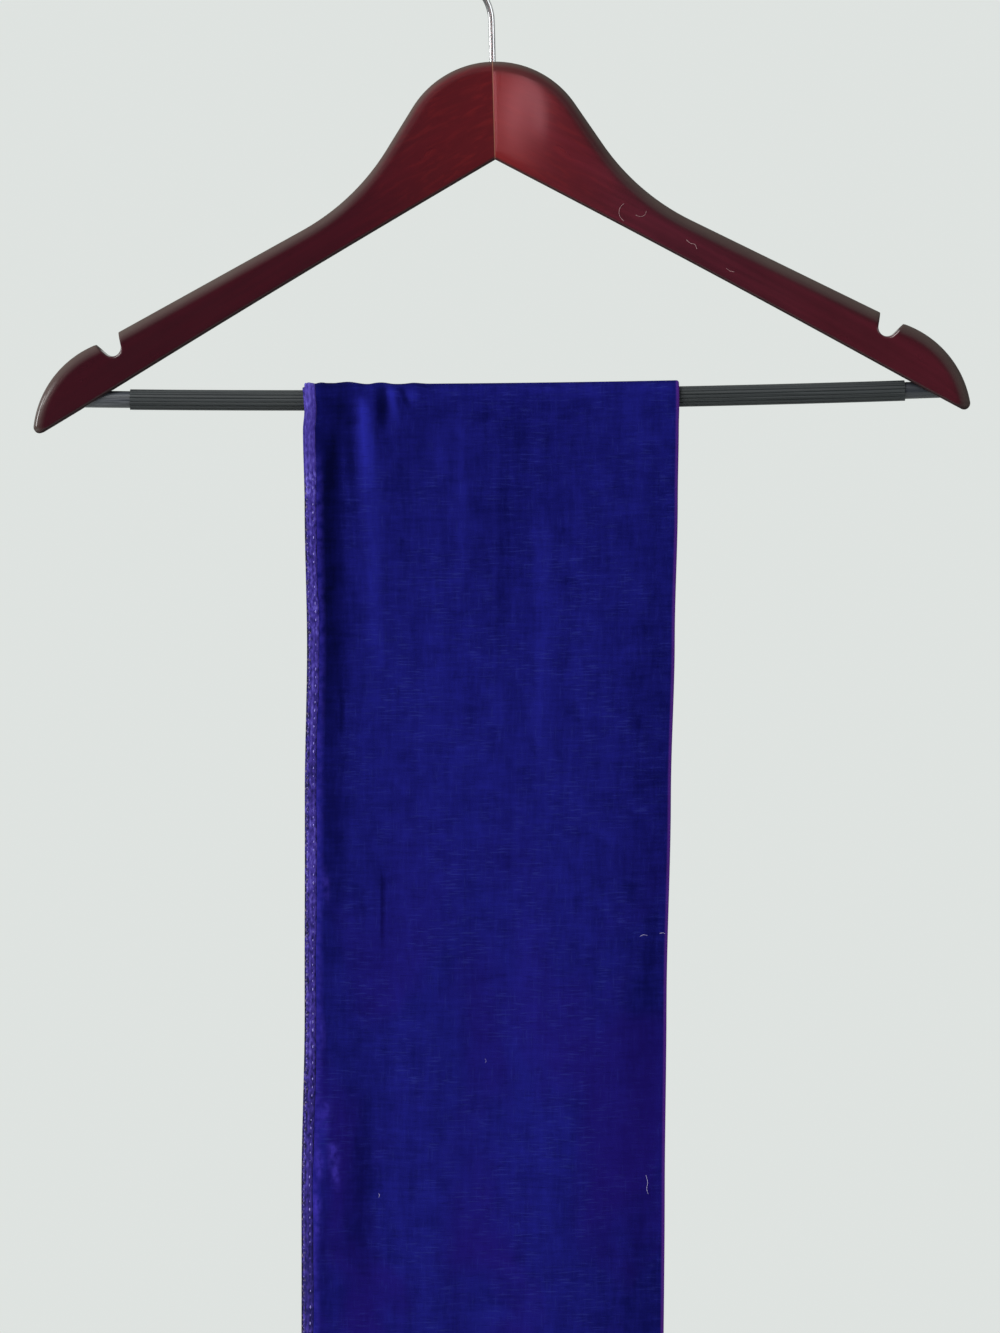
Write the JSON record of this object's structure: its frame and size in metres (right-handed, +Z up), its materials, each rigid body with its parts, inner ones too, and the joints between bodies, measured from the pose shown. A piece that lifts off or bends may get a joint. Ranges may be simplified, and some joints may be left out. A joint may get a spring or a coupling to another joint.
{
  "type": "velvet scarf on a wooden hanger",
  "caption": "Velvet scarf folded in half lengthwise, hung over the bar of a lacquered wooden hanger with a wire hook.",
  "frame": {"origin": "the place under the top of the hook's crook where the hook rests on a rail or peg", "axes": "+Z up, -Y towards the viewer of the front fall, +X to that viewer's right"},
  "size_m": [0.4438, 0.0314, 1.0339],
  "materials": {
    "velvet": "indigo velvet with a short, slubby nap and a violet hem",
    "lacquered_wood": "dark mahogany stain under gloss lacquer",
    "rod_paint": "satin slate grey",
    "ribbed_sleeve": "matt dark grey, ribbed lengthwise",
    "plated_wire": "bright plated steel"
  },
  "bodies": {
    "root": {"scarf_front_fall": "velvet", "scarf_over_bar": "velvet", "scarf_back_fall": "velvet", "hanger_arm_left": "lacquered_wood", "hanger_arm_right": "lacquered_wood", "hanger_bar_rod": "rod_paint", "hanger_bar_sleeve": "ribbed_sleeve", "hanger_hook": "plated_wire"}
  },
  "joints": []
}
